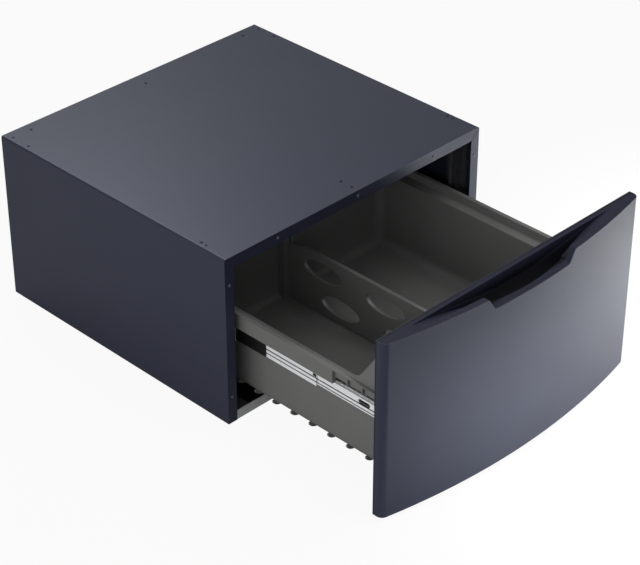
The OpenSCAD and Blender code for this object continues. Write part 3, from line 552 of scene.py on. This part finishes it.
def make_stud(name):
    """Threaded stud of a foot: one right-hand helix with chamfered ends."""
    lo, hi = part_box(name)
    middle = Matrix.Translation(((lo[0] + hi[0]) / 2, (lo[1] + hi[1]) / 2, 0))
    r = (hi[0] - lo[0]) / 2
    height = hi[2] - lo[2]
    steps = round(height / THREAD_PITCH * THREAD_RINGS)
    bm = bmesh.new()
    rings = []
    for k in range(steps + 1):
        rise = height * k / steps
        from_end = min(rise, height - rise) / THREAD_DEPTH
        lead = min(1.0, THREAD_LEAD + (1 - THREAD_LEAD) * from_end)
        points = []
        for i in range(THREAD_SIDES):
            phase = (rise / THREAD_PITCH - i / THREAD_SIDES) % 1
            local = (r - THREAD_DEPTH * abs(2 * phase - 1)) * lead
            angle = math.tau * i / THREAD_SIDES
            points.append((local * math.cos(angle), local * math.sin(angle), lo[2] + rise))
        rings.append(ring(bm, middle, points))
    close(bm, rings)
    mesh_object(name + "_threaded", bm, SLOT_OF[name], BODY_OF[name], name)


def make_lever(side):
    """Release lever with a raised rim round its edge and a pressed finger pad."""
    name = "release_lever_" + side
    k = -1 if side == "left" else 1
    lo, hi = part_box(name)
    outer = max(abs(lo[0]), abs(hi[0]))
    y_pin = DRAWER_Y + LEVER_Y
    y_tip = y_pin - LEVER_L + LEVER_H
    z_pin = SLIDE_Z + LEVER_RISE
    arc = [math.pi * i / LEVER_ARC - math.pi / 2 for i in range(LEVER_ARC + 1)]

    def outline(inset, x):
        r = LEVER_H / 2 - inset
        rear = [(x, y_pin + r * math.cos(a), z_pin + r * math.sin(a)) for a in arc]
        front = [(x, y_tip - r * math.cos(a), z_pin - r * math.sin(a)) for a in arc]
        return rear + front

    bm = bmesh.new()
    rings = [ring(bm, Matrix.Identity(4), outline(inset, k * (outer - depth)))
             for inset, depth in LEVER_PROFILE]
    close(bm, rings)
    obj = mesh_object(name + "_moulded", bm, SLOT_OF[name], BODY_OF[name], name)
    # The raised rim gets a painted highlight
    obj.data.materials.append(LEVER_RIM_HIGHLIGHT)
    for poly in obj.data.polygons:
        if abs(poly.center.x) > outer - 2 * NEAR and len(poly.vertices) == 4:
            poly.material_index = 1
    soften(obj, FINE_BEVEL, 1, 40)


def steel_balls(name):
    """The balls of a cage get bright steel; its channel stays black."""
    obj = NODES[name]
    obj.data.materials.append(ZINC)
    small = (BALL_D / 4) ** 2
    for poly in obj.data.polygons:
        if poly.area < small:
            poly.material_index = 1


def reach(name):
    """Least and greatest distance of a one-sided node from the middle plane."""
    lo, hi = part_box(name)
    return sorted((abs(lo[0]), abs(hi[0])))


def in_lines(c, face_x, lines):
    """Whether c is in the pressed lines at those heights, in the face at that x."""
    deep = face_x - BEAD_D - 2 * NEAR < abs(c.x) < face_x - HAIR
    return deep and any(abs(c.z - SLIDE_Z - z) < BEAD_W / 2 + NEAR for z in lines)


def shade_slides(side):
    """Painted shade in the pressed lines, the slot and the inside of the slide members."""
    middle = NODES["slide_middle_" + side]
    middle_face = reach("slide_middle_" + side)[1]
    middle.data.materials[0] = MIDDLE_ZINC_SHADED
    repaint(middle, SLIDE_SHADE, lambda c: in_lines(c, middle_face, BEAD_Z))

    drawer = NODES["slide_drawer_" + side]
    lo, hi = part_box("slide_drawer_" + side)
    heel, face = reach("slide_drawer_" + side)
    half = (hi[2] - lo[2]) / 2
    slot = (LIP_H - half - NEAR, LIP_H - half + SLOT_W + NEAR)

    def dark(c):
        z = c.z - SLIDE_Z
        if math.hypot(c.y - DRAWER_Y - LEVER_Y, z - LEVER_RISE) < PIN_R + 3 * NEAR:
            return True
        if in_lines(c, face, (LIP_LINE_Z,)):
            return True
        if abs(c.x) > face - WEB_T + HAIR:
            return slot[0] < z < slot[1] and abs(c.x) < face - HAIR
        return abs(c.x) > heel + WEB_T - NEAR and abs(z) < half - WEB_T + NEAR

    drawer.data.materials[0] = DRAWER_ZINC_SHADED
    repaint(drawer, SLIDE_SHADE, dark)
    for obj in (middle, drawer):
        obj.modifiers["edge"].width = SLIDE_BEVEL


def hidden_tips():
    """The slide screws end flush in the bin's wall, under the moulding's own skin."""
    screws = NODES["slide_screws"]
    inner = min(abs(v.co.x) for v in screws.data.vertices)
    repaint(screws, MATERIALS["bin_plastic"], lambda c: abs(c.x) < inner + NEAR)


NODES["front_cap"].data.materials[0] = SHADED_HOLLOW
NODES["divider"].data.materials[0] = DIVIDER
make_flange_screws()
make_deck_screws()
make_rear_screws()
make_front_screws()
hidden_tips()
for side_name in ("left", "right"):
    for end_name in ("front", "rear"):
        make_stud("foot_stud_" + end_name + "_" + side_name)
    make_lever(side_name)
    steel_balls("outer_cage_" + side_name)
    steel_balls("inner_cage_" + side_name)
    shade_slides(side_name)


# Floor, light and camera. Glow is how much of the white each kind of ray sees.
FLOOR_SIZE = 30
FLOOR_DROP = 0.0005
FLOOR_GLOW = (("Is Camera Ray", 0.93), ("Is Transmission Ray", 0.93), ("Is Glossy Ray", 0.04))
WORLD_GLOW = (("Is Camera Ray", 1.0), ("Is Transmission Ray", 1.0), ("Is Glossy Ray", 0.25))
WORLD_FILL = 0.23

# Name, place, target, size in metres, power in watts and spread in degrees. The two low
# lamps light the floor in front of the drawer, which the bowed front then reflects.
LAMPS = (
    ("left", (-2.3, -0.5, 0.95), (-0.35, -0.2, 0.2), (3.2, 1.8), 35, 180),
    ("right", (0.36, -0.74, 0.45), (0.36, -0.74, 0), (1.2, 0.2), 6.2, 105),
    ("flank", (0.78, -0.40, 0.45), (0.78, -0.40, 0), (0.5, 0.5), 4, 105),
    ("back", (1.45, 3.64, 4.1), (-0.3, 0.1, 0.37), (2.2, 1.6), 78, 180),
    ("top", (0.4, -0.9, 2.5), (0, -0.2, 0.2), (1.8, 1.8), 22, 180),
)

# The camera fitted to the photo, without its vertical lens shift
IMAGE_W = 640
FOCAL_PX = 2150
SENSOR = 36
CAMERA_PLACE = (-2.502, -2.491, 2.444)
CAMERA_YAW = math.radians(45.15)
CAMERA_PITCH = math.radians(33.35)


def ray_share(tree, parts):
    """The largest of the light path outputs named in parts, each times its weight."""
    path = tree.nodes.new("ShaderNodeLightPath")
    return largest(tree, [calculate(tree, "MULTIPLY", path.outputs[output], weight)
                          for output, weight in parts])


def make_floor():
    """A pale matt floor that keeps the shadow, nearly white to the camera, dark in reflections."""
    bpy.ops.mesh.primitive_plane_add(size=FLOOR_SIZE, location=(0, 0, -FLOOR_DROP))
    floor = bpy.context.object
    floor.name = "floor"
    mat, tree, bsdf = new_material("floor")
    bsdf.inputs["Base Color"].default_value = (0.5, 0.5, 0.5, 1)
    bsdf.inputs["Roughness"].default_value = 0.9
    bsdf.inputs["Specular IOR Level"].default_value = 0.0
    out = tree.nodes["Material Output"]
    glow = tree.nodes.new("ShaderNodeEmission")
    glow.inputs["Strength"].default_value = 1.0
    share = ray_share(tree, FLOOR_GLOW)
    mix = tree.nodes.new("ShaderNodeMixShader")
    link(tree, share, mix.inputs["Fac"])
    link(tree, bsdf.outputs[0], mix.inputs[1])
    link(tree, glow.outputs[0], mix.inputs[2])
    link(tree, mix.outputs[0], out.inputs["Surface"])
    floor.data.materials.append(mat)


def make_world():
    """White to the camera, and a faint even light on everything else."""
    world = bpy.data.worlds.new("studio")
    bpy.context.scene.world = world
    world.use_nodes = True
    tree = world.node_tree
    back = tree.nodes["Background"]
    back.inputs["Color"].default_value = (1, 1, 1, 1)
    seen = ray_share(tree, WORLD_GLOW)
    level = tree.nodes.new("ShaderNodeMapRange")
    level.inputs["To Min"].default_value = WORLD_FILL
    level.inputs["To Max"].default_value = 1.0
    link(tree, seen, level.inputs["Value"])
    link(tree, level.outputs["Result"], back.inputs["Strength"])


def area_light(name, place, target, size, power, spread):
    data = bpy.data.lights.new(name, "AREA")
    data.shape = "RECTANGLE"
    data.size, data.size_y = size
    data.energy = power
    data.spread = math.radians(spread)
    obj = bpy.data.objects.new(name, data)
    bpy.context.collection.objects.link(obj)
    obj.location = place
    obj.rotation_mode = "QUATERNION"
    obj.rotation_quaternion = (Vector(target) - Vector(place)).to_track_quat("-Z", "Y")
    obj.visible_camera = False


def make_camera():
    data = bpy.data.cameras.new("camera")
    data.sensor_width = SENSOR
    data.sensor_fit = "HORIZONTAL"
    data.lens = FOCAL_PX / IMAGE_W * SENSOR
    data.clip_end = 60
    cam = bpy.data.objects.new("camera", data)
    bpy.context.collection.objects.link(cam)
    cam.location = CAMERA_PLACE
    level = math.cos(CAMERA_PITCH)
    ahead = Vector((math.sin(CAMERA_YAW) * level, math.cos(CAMERA_YAW) * level,
                    -math.sin(CAMERA_PITCH)))
    cam.rotation_mode = "QUATERNION"
    cam.rotation_quaternion = ahead.to_track_quat("-Z", "Y")
    bpy.context.scene.camera = cam


make_floor()
make_world()
for lamp in LAMPS:
    area_light(*lamp)
make_camera()
bpy.context.scene.view_settings.view_transform = "Standard"
